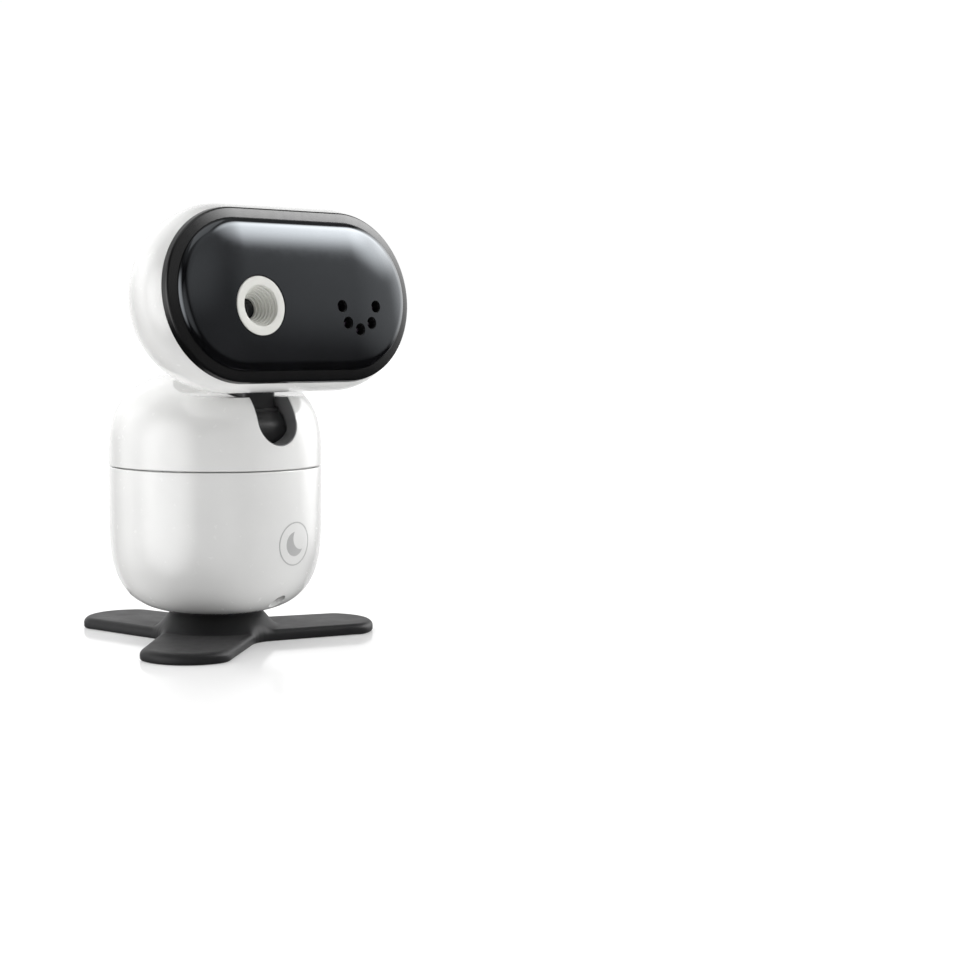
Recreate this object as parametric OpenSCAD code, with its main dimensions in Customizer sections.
// Pan and tilt baby monitor camera: a round body on a three-armed rubber stand,
// a turning dome on top of it, and a wide head that tips on a neck in the dome's slot.
// +Z is up, the origin is on the pan axis at the underside of the stand, and the
// fixed body faces -Y.

/* [Body] */
// Radius of the round body at the seam
body_r = 34; // [33.5:0.1:34.5]
// Height of the seam between the fixed body and the turning dome
seam_z = 56.3; // [56:0.1:56.6]
// Width of the seam
seam_gap = 0.35; // [0.3:0.05:0.5]
// Height of the body's flat underside
body_floor_z = 9.5; // [9.3:0.1:9.8]
// Wall thickness of the plastic shells
wall = 2; // [1.8:0.1:2.2]

/* [Stand] */
// Reach of each arm from the pan axis
arm_reach = 53.5; // [48:0.5:54]
// Half width of an arm where it leaves the hub
arm_half_w = 15.7; // [14:0.1:16]
// Thickness of the arms
arm_t = 3.6; // [3.2:0.1:4]
// Turn of the stand under the body
stand_turn = 1; // [-5:1:5]

/* [Head] */
// Half height of the head at its widest
head_half_h = 28.8; // [28.4:0.1:29]
// Distance from the head's middle to the centre of each round end
head_half_span = 20.6; // [20:0.1:21]
// Depth of the head behind its widest section
head_back = 26.2; // [25:0.1:27]
// Depth of the head's front curve, if it were not cut off by the cover
head_front = 18; // [17.5:0.1:18.5]
// Turn of the dome and head at rest
pan_rest = -10; // [-12:1:-8]
// Upward tip of the face at rest
tilt_rest = 7.4; // [7:0.1:8]

/* [Lens] */
// Sideways place of the lens on the face
lens_x = -16.8; // [-18:0.1:-16]
// Height of the lens on the face, from its middle
lens_z = -3.9; // [-4.5:0.1:-3.5]
// Outer radius of the white ring round the lens
ring_r = 8.9; // [8.6:0.1:9]
// Sideways place of the middle of the infrared lamps
lamps_x = 21.8; // [21:0.1:22.5]
// Radius of each lamp window
lamp_r = 1.95; // [1.8:0.05:2]

/* [Drives] */
// Teeth on the large pan gear
pan_teeth = 60; // [60:1:60]
// Teeth on the tilt gear
tilt_teeth = 28; // [28:1:28]
// Running clearance of shafts in their bushes
running_gap = 0.05; // [0.03:0.01:0.08]

/* [Hidden] */

round_fn = 96;
small_fn = 32;
cut = 0.5;
fit = 0.3;
white = [0.95, 0.95, 0.94];
charcoal = [0.13, 0.13, 0.14];
black = [0.03, 0.03, 0.04];
steel = [0.72, 0.73, 0.75];
brass = [0.80, 0.66, 0.35];
board_green = [0.10, 0.35, 0.20];

// Body and dome curves: superellipses with these heights and powers
bowl_top_z = 44;
bowl_h = 35;
bowl_power = 3.5;
dome_base_z = 57;
dome_h = 29.5;
dome_power = 3;
curve_steps = 14;
lip_root = 3;
lip_rise = 1.2;
lip_outer_r = 31.7;
lip_t = 0.7;
lower_top_z = seam_z - seam_gap / 2;
upper_base_z = seam_z + seam_gap / 2;

// Stand
hub_r = 16.5;
hub_top_r = 14.3;
arm_tip_half_w = 14;
arm_tip_round = 12;
arm_corner = 7;
tip_arc_r = 16.5;
arm_fillet = 11;
plate_t = 1;
plate_z = 1.3;
plate_margin = 3.5;
insert_r = 4;
insert_bore_r = 2.55;
insert_len = 6;

// Screws up into the chassis from under the body
case_screw_ring = 26;
case_screw_recess_r = 2.6;
case_screw_head_z = 18.2;
case_screw_head_h = 2;
case_screw_r = 1.2;
case_screw_len = 9;
case_boss_r = 4.2;
case_boss_top_z = 22;

// Inside of the fixed body
board_z = 28.5;
board_t = 1.6;
board_r = 29;
deck_z = 46;
deck_t = 2.5;
deck_r = 31;
post_r = 3.2;

// Speaker and the rear face
speaker_z = 38.5;
speaker_r = 7;
speaker_y = 27;
grille_hole_r = 0.8;
grille_pitch = 2.4;
socket_z = 20.5;
socket_r = 3;
socket_bore_r = 1.85;
socket_len = 9;
socket_inset = 1.6;
button_x = 14;
button_z = 36;
button_r = 2.6;
slider_x = -14;
slider_z = 36;
slider_travel = 3;
slider_w = 3;
slider_h = 2.4;
sensor_z = 24;
led_x = 9.5;
led_z = 26;

// Pan drive
pan_module = 0.6;
pinion_teeth = 12;
pan_pitch_r = pan_teeth * pan_module / 2;
pan_pinion_r = pinion_teeth * pan_module / 2;
pan_centre = pan_pitch_r + pan_pinion_r;
pan_motor_az = 60;
pan_motor_r = 9;
pan_motor_len = 15;
pan_gear_z = 50.2;
pan_gear_t = 2.6;
spindle_r = 6;
spindle_bore_r = 4;
spindle_len = 15;
bush_wall = 1.5;
table_z = 57.2;
table_t = 1.8;
table_r = 30.6;
motor_shaft_r = 0.75;
turret_screw_ring = 28.8;
turret_screw_az = [-40, 100, 180, 260];
turret_boss_r = 3.4;
turret_boss_top_z = 66;

// Tilt drive, in the dome's own frame (y is minus the distance forward of the pan axis)
tilt_y = -20;
tilt_z = 68;
tilt_module = 0.5;
tilt_pinion_teeth = 10;
tilt_pitch_r = tilt_teeth * tilt_module / 2;
tilt_pinion_r = tilt_pinion_teeth * tilt_module / 2;
tilt_centre = tilt_pitch_r + tilt_pinion_r;
tilt_gear_x = 10;
tilt_gear_t = 2.4;
tilt_motor_r = 7.5;
tilt_motor_x = 13.6;
tilt_motor_len = 10.8;
axle_r = 1.5;
axle_left = -11.5;
axle_right = 13;

// Slot and its liner
slot_half_w = 7.6;
slot_floor_z = 63.9;
slot_back_y = -12.4;
liner_t = 0.8;
liner_floor_z = 59;
liner_top_z = 78;

// Neck
barrel_r = 7.6;
barrel_half_w = 7.2;
stem_half_w = 6.2;
stem_front = 3.8;
stem_back = 3.4;
stem_foot = 5;
cable_bore_r = 2.5;
stem_len = 21;
flange_half_w = 12;
flange_half_d = 4.2;
flange_t = 2.5;

// Head: the outline plane is where the black cover meets the white shell
outline_y = -37.7;
outline_z = 110.1;
girth_back = 6.7;
saddle_r = head_half_h + 5.2;
saddle_y = -24;
saddle_z = 112.8;

// Front cover, measured forward of the outline plane
band_in = 4.5;
band_rise = 4.9;
panel_crown = 2.2;
panel_power = 2.5;
cover_t = 2;

// Lens, measured back from the face at the lens
face_at_lens = 7;
ring_inner_r = 6.2;
ring_depth = 6.7;
ring_steps = 6;
lens_r = 3.15;
gasket_w = 0.35;
lamp_spots = [[-6.95, -3.7], [-4.85, -8.85], [4.85, -8.85], [6.95, -3.7]];
sensor_spot = [0, -10.9];

// ---- curves ----
function body_radius(z) = body_r * pow(1 - pow(max(0, bowl_top_z - z) / bowl_h, bowl_power), 1 / bowl_power);
function dome_radius(z) = body_r * pow(1 - pow(max(0, z - dome_base_z) / dome_h, dome_power), 1 / dome_power);
function step_list(n) = [for (i = [0:n]) i / n];
function ease(u) = sin(90 * u);

// Half section of the fixed body, shrunk by inset
function body_half(inset) = let (low = body_floor_z)
    [for (u = step_list(curve_steps)) let (z = low + (bowl_top_z - low) * (1 - ease(1 - u)))
        [body_radius(z) - inset, z + inset * (1 - u)]];

// Half section of the dome, shrunk by inset
function dome_half(inset) = [for (u = step_list(curve_steps)) let (z = dome_base_z + dome_h * ease(u))
    [max(0, dome_radius(z) - inset * (1 - u)), z - inset * u]];

// Half section of the head: [height from the axis, distance forward of the outline plane]
function shell_curve(inset) = let (end_angle = asin(girth_back / head_front))
    concat([for (u = step_list(curve_steps)) let (a = -90 + 90 * u)
            [(head_half_h - inset) * cos(a), -girth_back + (head_back - inset) * sin(a)]],
        [for (u = [0.5, 1]) let (a = end_angle * u)
            [(head_half_h - inset) * cos(a), -girth_back + head_front * sin(a)]]);
rim_half_h = head_half_h * cos(asin(girth_back / head_front));

// Half section of the black cover's outside
function cover_curve(inset) = let (inner = rim_half_h - band_in)
    concat([for (u = step_list(5)) let (a = 90 * u)
            [inner + band_in * pow(cos(a), 1.3) - inset, band_rise * pow(sin(a), 1.1) - inset * u]],
        [for (u = [1:curve_steps]) let (r = inner * (1 - u / curve_steps))
            [max(0, r * (1 - inset / inner)),
                band_rise + panel_crown * (1 - pow(r / inner, panel_power)) - inset]]);

// Involute tooth flanks: points from root to tip and back
function involute(a) = tan(a) * 180 / PI - a;
function flank(teeth, m, r, play) = let (base_r = teeth * m / 2 * cos(20))
    90 / teeth * play + involute(20) - involute(acos(min(1, base_r / r)));
function tooth_radii(teeth, m) = [teeth * m / 2 - 1.15 * m, teeth * m / 2 - 0.45 * m, teeth * m / 2 + 0.2 * m,
    teeth * m / 2 + 0.85 * m];
function gear_outline(teeth, m, play) = let (radii = tooth_radii(teeth, m))
    [for (i = [0:teeth - 1]) for (k = [0:7]) let (j = k < 4 ? k : 7 - k, side = k < 4 ? -1 : 1, r = radii[j],
        a = 360 / teeth * i + side * flank(teeth, m, r, play)) [r * cos(a), r * sin(a)]];

// ---- shared shapes ----
module in_turret() { rotate([0, 0, pan_rest]) children(); }
module in_head() {
    in_turret() translate([0, outline_y, outline_z]) rotate([-tilt_rest, 0, 0]) children();
}
module on_tilt_axis() { in_turret() translate([0, tilt_y, tilt_z]) children(); }
module along_x() { rotate([0, 90, 0]) children(); }
module along_y_front() { rotate([90, 0, 0]) children(); }

module gear(teeth, m, thick, play = 0.92) {
    linear_extrude(thick) polygon(gear_outline(teeth, m, play));
}

// A solid of revolution about the face's normal, split and drawn out sideways
module stadium_sweep(half_section) {
    for (side = [0, 1]) mirror([side, 0, 0]) translate([head_half_span, 0, 0])
        along_y_front() rotate([0, 0, -90]) rotate_extrude(angle = 180, $fn = round_fn) polygon(half_section);
    both = concat([for (p = half_section) [p[0], -p[1]]],
        [for (i = [len(half_section) - 1:-1:0]) [-half_section[i][0], -half_section[i][1]]]);
    along_x() translate([0, 0, -head_half_span]) linear_extrude(2 * head_half_span) polygon(both);
}
function close_back(pts) = concat(pts, [[0, pts[len(pts) - 1][1]]]);
function close_cover(pts, back) = concat([[0, back], [pts[0][0], back]], pts);

// The trough across the dome that the head rolls in as it tips
module saddle(radius) {
    translate([0, saddle_y, saddle_z]) along_x()
        cylinder(h = 3 * body_r, r = radius, center = true, $fn = 2 * round_fn);
}

module dome_solid(inset, base) {
    pts = dome_half(inset);
    rotate_extrude($fn = round_fn) polygon(concat([[0, base], [body_r - inset, base]], pts,
        [[0, pts[len(pts) - 1][1]]]));
}

// ---- stand ----
module arm_plan(shrink) {
    for (az = [0, 120, 240]) rotate([0, 0, az + 90]) {
        polygon([[0, -arm_half_w + shrink], [arm_reach - arm_tip_round - shrink, -arm_tip_half_w + shrink],
            [arm_reach - arm_tip_round - shrink, arm_tip_half_w - shrink], [0, arm_half_w - shrink]]);
        intersection() {
            translate([arm_reach - arm_tip_round - shrink, -arm_tip_half_w + shrink])
                square([arm_tip_round, 2 * (arm_tip_half_w - shrink)]);
            translate([arm_reach - tip_arc_r - shrink, 0]) circle(r = tip_arc_r, $fn = round_fn);
        }
    }
}
module stand_plan(shrink) {
    offset(r = -arm_fillet, $fn = small_fn) offset(delta = arm_fillet) offset(r = arm_corner, $fn = small_fn)
        offset(delta = -arm_corner) arm_plan(shrink);
}

module stand_rubber() color(charcoal) rotate([0, 0, stand_turn]) difference() {
    union() {
        linear_extrude(arm_t) stand_plan(0);
        translate([0, 0, arm_t])
            cylinder(h = body_floor_z - arm_t, r1 = hub_r, r2 = hub_top_r, $fn = round_fn);
    }
    translate([0, 0, plate_z]) linear_extrude(plate_t) stand_plan(plate_margin);
    translate([0, 0, -cut]) cylinder(h = body_floor_z + 2 * cut, r = insert_r, $fn = small_fn);
}

module stand_plate() color(steel) rotate([0, 0, stand_turn]) translate([0, 0, plate_z]) difference() {
    linear_extrude(plate_t) stand_plan(plate_margin);
    translate([0, 0, -cut]) cylinder(h = plate_t + 2 * cut, r = insert_r, $fn = small_fn);
}

module stand_insert() color(brass) difference() {
    cylinder(h = body_floor_z, r = insert_r, $fn = round_fn);
    translate([0, 0, -cut]) cylinder(h = insert_len + cut, r = insert_bore_r, $fn = round_fn);
}

// ---- fixed body ----
module rear_wall_cut(x, z, r) {
    translate([x, body_r - 8, z]) rotate([-90, 0, 0]) cylinder(h = 12, r = r, $fn = small_fn);
}

module body_solid(inset, top) {
    pts = body_half(inset);
    rotate_extrude($fn = round_fn) polygon(concat([[0, pts[0][1]]], pts, [[body_r - inset, top], [0, top]]));
}

// A ring that stands behind the seam and keeps dust out of the turning joint
module seam_lip() {
    translate([0, 0, lower_top_z - lip_root]) difference() {
        cylinder(h = lip_root + lip_rise, r = lip_outer_r, $fn = round_fn);
        translate([0, 0, -cut])
            cylinder(h = lip_root + lip_rise + 2 * cut, r = lip_outer_r - lip_t, $fn = round_fn);
    }
    translate([0, 0, lower_top_z - lip_root]) difference() {
        cylinder(h = lip_root - 1, r = body_r - wall / 2, $fn = round_fn);
        translate([0, 0, -cut]) cylinder(h = lip_root + 2 * cut, r = lip_outer_r - lip_t, $fn = round_fn);
    }
}

module at_case_screws() {
    for (az = [0, 120, 240]) rotate([0, 0, az]) translate([0, -case_screw_ring, 0]) children();
}

module lower_shell() color(white) difference() {
    union() {
        difference() {
            body_solid(0, lower_top_z);
            body_solid(wall, lower_top_z + cut);
        }
        intersection() {
            body_solid(wall / 2, lower_top_z);
            at_case_screws() cylinder(h = case_boss_top_z, r = case_boss_r, $fn = small_fn);
        }
        seam_lip();
    }
    at_case_screws()
        cylinder(h = case_screw_head_z + case_screw_head_h, r = case_screw_recess_r, $fn = small_fn);
    at_case_screws() cylinder(h = case_boss_top_z + cut, r = case_screw_r, $fn = small_fn);
    for (i = [-2:2]) for (j = [-2:2]) if (abs(i) + abs(j) < 4)
        rear_wall_cut(i * grille_pitch, speaker_z + j * grille_pitch, grille_hole_r);
    rear_wall_cut(0, socket_z, socket_r + 0.05);
    rear_wall_cut(button_x, button_z, button_r + fit);
    rear_wall_cut(led_x, led_z, 1);
    translate([slider_x, body_r - 2, slider_z])
        cube([slider_w + slider_travel + 2 * fit, 12, slider_h + 2 * fit], center = true);
    for (i = [-2:2]) translate([-9 + 1.4 * i, body_r - 4, sensor_z]) cube([0.7, 12, 5], center = true);
}

module case_screws() color(steel) at_case_screws()
    translate([0, 0, case_screw_head_z]) difference() {
        union() {
            cylinder(h = case_screw_head_h, r = 2.2, $fn = small_fn);
            cylinder(h = case_screw_len, r = case_screw_r, $fn = small_fn);
        }
        for (turn = [0, 90]) rotate([0, 0, turn]) cube([2.6, 0.6, 1.6], center = true);
    }

module chassis() color([0.25, 0.26, 0.28]) difference() {
    union() {
        translate([0, 0, deck_z]) cylinder(h = deck_t, r = deck_r, $fn = round_fn);
        at_case_screws() translate([0, 0, case_boss_top_z])
            cylinder(h = deck_z + deck_t - case_boss_top_z, r = post_r, $fn = small_fn);
    }
    translate([0, 0, deck_z - cut]) cylinder(h = deck_t + 2 * cut, r = spindle_r + bush_wall, $fn = round_fn);
    at_case_screws() cylinder(h = case_screw_head_z + case_screw_len, r = case_screw_r, $fn = small_fn);
    rotate([0, 0, pan_motor_az]) translate([0, -pan_centre, deck_z - cut])
        cylinder(h = deck_t + 2 * cut, r = motor_shaft_r + 0.6, $fn = small_fn);
}

module main_board() color(board_green) translate([0, 0, board_z]) difference() {
    cylinder(h = board_t, r = board_r - 2, $fn = round_fn);
    at_case_screws() translate([0, 0, -cut]) cylinder(h = board_t + 2 * cut, r = post_r, $fn = small_fn);
}

module radio_module() color(steel) translate([-12, -8, board_z + board_t]) difference() {
    cube([14, 12, 2.4]);
    translate([1, 1, 1.9]) cube([3, 3, 1]);
}

module antenna() color(black) translate([-20, -8, board_z + board_t]) {
    cube([1, 16, 8]);
    cube([3, 3, 1.2]);
}

module speaker() color(charcoal) translate([0, speaker_y, speaker_z]) rotate([90, 0, 0]) {
    difference() {
        cylinder(h = 2.4, r = speaker_r, $fn = round_fn);
        translate([0, 0, -cut]) cylinder(h = 1 + cut, r = speaker_r - 1.5, $fn = round_fn);
    }
    translate([0, 0, 2.4]) cylinder(h = 3.5, r = 4.5, $fn = round_fn);
}

module microphone() color(steel) translate([8, 20, board_z + board_t])
    cylinder(h = 2.2, r = 2, $fn = small_fn);

module power_socket() color(black) translate([0, body_radius(socket_z) - socket_inset, socket_z])
    rotate([90, 0, 0]) difference() {
        cylinder(h = socket_len, r = socket_r, $fn = round_fn);
        translate([0, 0, -cut]) cylinder(h = socket_len - 1 + cut, r = socket_bore_r, $fn = round_fn);
    }

module socket_lugs() color(brass) for (side = [-1, 1])
    translate([side * 1.8, body_radius(socket_z) - socket_inset - socket_len - 1.5, socket_z])
        cube([0.8, 3, 2], center = true);

module temperature_sensor() color(steel) translate([-9, 25, sensor_z - 1.5]) cube([5, 1.5, 3], center = true);

module status_light() color([0.85, 0.95, 0.9]) translate([led_x, 26.5, led_z])
    rotate([-90, 0, 0]) cylinder(h = body_at(led_x, led_z) - 26.5, r = 1, $fn = small_fn);
function body_at(x, z) = sqrt(pow(body_radius(z), 2) - x * x) - 0.1;

module pair_switch() color(steel) translate([button_x, 21.4, button_z]) cube([6, 3, 6], center = true);

module pair_button() color([0.85, 0.85, 0.84]) translate([button_x, 0, button_z]) rotate([-90, 0, 0]) {
    translate([0, 0, 24.2])
        cylinder(h = body_at(button_x, button_z) - 24.2 + 0.2, r = button_r, $fn = round_fn);
    translate([0, 0, 23.5]) cylinder(h = 0.8, r = 1.2, $fn = small_fn);
}

module power_switch() color(steel) translate([slider_x, 22.5, slider_z]) cube([10, 3, 5], center = true);

module power_slider() color([0.2, 0.2, 0.21]) translate([slider_x + slider_travel / 2, 0, slider_z]) {
    translate([0, 27.6, 0]) cube([slider_w, 5.6, slider_h], center = true);
    translate([0, 24.6, 0]) cube([slider_w + 1, 0.9, slider_h + 1], center = true);
}

module pan_motor() color(steel) rotate([0, 0, pan_motor_az]) translate([0, -pan_centre, deck_z]) {
    translate([0, 0, -pan_motor_len]) cylinder(h = pan_motor_len, r = pan_motor_r, $fn = round_fn);
}

module pan_pinion() color(brass) rotate([0, 0, pan_motor_az]) translate([0, -pan_centre, 0]) {
    translate([0, 0, pan_gear_z - 0.2]) rotate([0, 0, 90 + 180 / pinion_teeth])
        gear(pinion_teeth, pan_module, pan_gear_t + 0.4);
    translate([0, 0, deck_z + 0.1]) cylinder(h = pan_gear_z - deck_z, r = motor_shaft_r, $fn = small_fn);
}

module pan_bush() color(brass) translate([0, 0, deck_z - 1]) difference() {
    cylinder(h = deck_t + 1.6, r = spindle_r + bush_wall, $fn = round_fn);
    translate([0, 0, -cut]) cylinder(h = deck_t + 1.6 + 2 * cut, r = spindle_r + running_gap, $fn = round_fn);
}

module pan_clip() color(steel) translate([0, 0, deck_z - 2.4]) difference() {
    cylinder(h = 1, r = spindle_r + 2.2, $fn = round_fn);
    translate([0, 0, -cut]) cylinder(h = 1 + 2 * cut, r = spindle_r, $fn = round_fn);
    translate([0, -2, -cut]) cube([20, 4, 2]);
}

// ---- turning dome ----
module at_turret_screws() {
    for (az = turret_screw_az) rotate([0, 0, az]) translate([0, -turret_screw_ring, 0]) children();
}

module upper_shell() color(white) in_turret() difference() {
    union() {
        difference() {
            dome_solid(0, upper_base_z);
            saddle(saddle_r);
            difference() {
                dome_solid(wall, upper_base_z - cut);
                saddle(saddle_r + wall);
            }
            slot_room();
        }
        intersection() {
            dome_solid(wall / 2, table_z + table_t);
            at_turret_screws() cylinder(h = turret_boss_top_z, r = turret_boss_r, $fn = small_fn);
        }
    }
    at_turret_screws() cylinder(h = table_z + 4.8, r = 1.1, $fn = small_fn);
}

// The U-shaped slot in the front of the dome
module slot_room() {
    translate([0, slot_back_y, slot_floor_z + slot_half_w]) {
        along_y_front() cylinder(h = 40, r = slot_half_w, $fn = round_fn);
        translate([-slot_half_w, -40, 0]) cube([2 * slot_half_w, 40, 30]);
    }
}

// The dome's room inside inset, with the saddle kept clear
module dome_room(inset) {
    difference() {
        dome_solid(inset, liner_floor_z - 1);
        saddle(saddle_r + inset);
    }
}

module turntable() color([0.25, 0.26, 0.28]) difference() {
    union() {
        translate([0, 0, table_z]) cylinder(h = table_t, r = table_r, $fn = round_fn);
        translate([0, 0, table_z - spindle_len]) cylinder(h = spindle_len, r = spindle_r, $fn = round_fn);
        translate([0, 0, pan_gear_z + pan_gear_t])
            cylinder(h = table_z - pan_gear_z - pan_gear_t, r = 12, $fn = round_fn);
    }
    translate([0, 0, table_z - spindle_len - cut])
        cylinder(h = spindle_len + table_t + 2 * cut, r = spindle_bore_r, $fn = round_fn);
    in_turret() at_turret_screws() translate([0, 0, table_z - cut])
        cylinder(h = table_t + 2 * cut, r = 1.1, $fn = small_fn);
}

module pan_gear() color([0.9, 0.9, 0.86]) translate([0, 0, pan_gear_z]) difference() {
    rotate([0, 0, pan_motor_az - 90]) gear(pan_teeth, pan_module, pan_gear_t);
    translate([0, 0, -cut]) cylinder(h = pan_gear_t + 2 * cut, r = spindle_r, $fn = round_fn);
}

module turret_screws() color(steel) in_turret() at_turret_screws() translate([0, 0, table_z - 1.2]) {
        cylinder(h = 1.2, r = 1.9, $fn = small_fn);
        cylinder(h = 6, r = 1.1, $fn = small_fn);
    }

module slot_liner() color(charcoal) in_turret() difference() {
    intersection() {
        translate([-slot_half_w - liner_t, -32, liner_floor_z])
            cube([2 * (slot_half_w + liner_t), 32 + slot_back_y + liner_t, liner_top_z - liner_floor_z]);
        dome_room(wall + 0.1);
    }
    translate([-slot_half_w, -40, liner_floor_z + 1]) cube([2 * slot_half_w, 40 + slot_back_y, 40]);
    translate([-20, tilt_y, tilt_z]) along_x() cylinder(h = 40, r = axle_r + 1, $fn = small_fn);
}

module tilt_motor() color(steel) on_tilt_axis() translate([tilt_motor_x, tilt_centre, 0])
    along_x() cylinder(h = tilt_motor_len, r = tilt_motor_r, $fn = round_fn);

module tilt_pinion() color(brass) on_tilt_axis() translate([0, tilt_centre, 0]) {
    translate([tilt_gear_x - 0.2, 0, 0]) along_x() rotate([0, 0, -90 + 180 / tilt_pinion_teeth])
        gear(tilt_pinion_teeth, tilt_module, tilt_gear_t + 0.4, 0.86);
    translate([tilt_gear_x + tilt_gear_t, 0, 0]) along_x()
        cylinder(h = tilt_motor_x - tilt_gear_x - tilt_gear_t - 0.1, r = motor_shaft_r, $fn = small_fn);
}

module tilt_bushes() color(brass) on_tilt_axis() for (x = [-slot_half_w - liner_t, slot_half_w])
    translate([x, 0, 0]) along_x() difference() {
        cylinder(h = liner_t, r = axle_r + 1, $fn = small_fn);
        translate([0, 0, -cut]) cylinder(h = liner_t + 2 * cut, r = axle_r + running_gap, $fn = small_fn);
    }

// ---- tipping head ----
module tilt_axle() color(steel) on_tilt_axis() translate([axle_left, 0, 0])
    along_x() cylinder(h = axle_right - axle_left, r = axle_r, $fn = round_fn);

module tilt_gear() color([0.9, 0.9, 0.86])
    on_tilt_axis() translate([tilt_gear_x, 0, 0]) along_x() difference() {
        rotate([0, 0, 90]) gear(tilt_teeth, tilt_module, tilt_gear_t, 0.86);
        translate([0, 0, -cut]) cylinder(h = tilt_gear_t + 2 * cut, r = axle_r, $fn = round_fn);
    }

module neck_stem() {
    on_tilt_axis() translate([-stem_half_w, -stem_front, stem_foot])
        cube([2 * stem_half_w, stem_front + stem_back, stem_len - stem_foot]);
}

module neck() color(charcoal) difference() {
    union() {
        on_tilt_axis() translate([-barrel_half_w, 0, 0]) along_x()
            cylinder(h = 2 * barrel_half_w, r = barrel_r, $fn = round_fn);
        neck_stem();
        on_tilt_axis() translate([-flange_half_w, (stem_back - stem_front) / 2 - flange_half_d, stem_len])
            cube([2 * flange_half_w, 2 * flange_half_d, flange_t]);
    }
    on_tilt_axis() translate([-20, 0, 0]) along_x() cylinder(h = 40, r = axle_r, $fn = round_fn);
    on_tilt_axis() translate([0, (stem_back - stem_front) / 2, barrel_r + 2])
        cylinder(h = 30, r = cable_bore_r, $fn = small_fn);
}

module head_shell() color(white) difference() {
    in_head() stadium_sweep(close_back(shell_curve(0)));
    in_head() stadium_sweep(close_back([for (p = shell_curve(wall)) [p[0], p[1] < -0.1 ? p[1] : cut]]));
    neck_stem();
}

module face_bores(extra) {
    translate([lens_x, 0, lens_z]) along_y_front()
        cylinder(h = 12, r = ring_r + gasket_w + extra, $fn = round_fn);
}

module lamp_bores(extra) {
    for (p = concat(lamp_spots, [sensor_spot])) translate([lamps_x + p[0], 0, p[1]])
        along_y_front() cylinder(h = 12, r = lamp_r + extra, $fn = small_fn);
}

module front_cover() color(black) in_head() difference() {
    stadium_sweep(close_cover(cover_curve(0), 0));
    translate([0, cut, 0]) stadium_sweep(close_cover([for (p = cover_curve(cover_t)) [p[0], p[1] + cut]], 0));
    face_bores(0);
    lamp_bores(0);
}

// White ring: a flat rim, then a cone of steps down to the lens
function ring_profile() = concat([[ring_r, -ring_depth - 1.5], [ring_r, 0], [ring_inner_r, 0]],
    [for (i = [0:ring_steps - 1]) for (k = [0, 1]) let (u = (i + k) / ring_steps)
        [ring_inner_r + (lens_r - ring_inner_r) * i / ring_steps, -0.3 - (ring_depth - 0.3) * u]],
    [[lens_r, -ring_depth], [lens_r, -ring_depth - 1.5]]);

module at_lens() { in_head() translate([lens_x, -face_at_lens, lens_z]) along_y_front() children(); }

module lens_ring() color(white) at_lens() rotate_extrude($fn = round_fn) polygon(ring_profile());

module lens_gasket() color(black) at_lens() translate([0, 0, -3]) difference() {
    cylinder(h = 2.6, r = ring_r + gasket_w, $fn = round_fn);
    translate([0, 0, -cut]) cylinder(h = 2.6 + 2 * cut, r = ring_r, $fn = round_fn);
}

module lens_glass() color([0.1, 0.1, 0.2]) at_lens() translate([0, 0, -ring_depth - 1.5])
    rotate_extrude($fn = round_fn) polygon(concat([[0, 0], [lens_r, 0]],
        [for (u = step_list(6)) let (a = 90 * u) [lens_r * cos(a), 0.3 + 0.9 * sin(a)]]));

module lens_barrel() color(black) at_lens() translate([0, 0, -ring_depth - 13]) {
    cylinder(h = 11.5, r = 6, $fn = round_fn);
    cylinder(h = 2, r = 7.2, $fn = round_fn);
}

module sensor_board() color(board_green)
    at_lens() translate([-9, -9, -ring_depth - 14.2]) cube([18, 18, 1.2]);

module lamp_board() color(board_green) in_head() translate([lamps_x - 9.5, -1.2, -15]) cube([19, 1.2, 15]);

module infrared_lamps() color([0.15, 0.05, 0.2]) in_head() for (p = lamp_spots)
    translate([lamps_x + p[0], -1.2, p[1]]) along_y_front() {
        cylinder(h = 2.6, r = 1.5, $fn = small_fn);
        translate([0, 0, 2.6]) sphere(r = 1.4, $fn = small_fn);
    }

module light_sensor() color([0.5, 0.55, 0.6])
    in_head() translate([lamps_x + sensor_spot[0], -1.2, sensor_spot[1]]) along_y_front() {
        cylinder(h = 3, r = 1.3, $fn = small_fn);
        translate([0, 0, 3]) sphere(r = 1.25, $fn = small_fn);
    }

module neck_screws() color(steel) for (side = [-1, 1]) on_tilt_axis()
    translate([side * (flange_half_w - 2.6), (stem_back - stem_front) / 2, stem_len + flange_t])
        cylinder(h = 1.4, r = 1.9, $fn = small_fn);

stand_rubber();
stand_plate();
stand_insert();
lower_shell();
case_screws();
chassis();
main_board();
radio_module();
antenna();
speaker();
microphone();
power_socket();
socket_lugs();
temperature_sensor();
status_light();
pair_switch();
pair_button();
power_switch();
power_slider();
pan_motor();
pan_pinion();
pan_bush();
pan_clip();
upper_shell();
turntable();
pan_gear();
turret_screws();
slot_liner();
tilt_motor();
tilt_pinion();
tilt_bushes();
tilt_axle();
tilt_gear();
neck();
head_shell();
front_cover();
lens_ring();
lens_gasket();
lens_barrel();
lens_glass();
sensor_board();
lamp_board();
infrared_lamps();
light_sensor();
neck_screws();
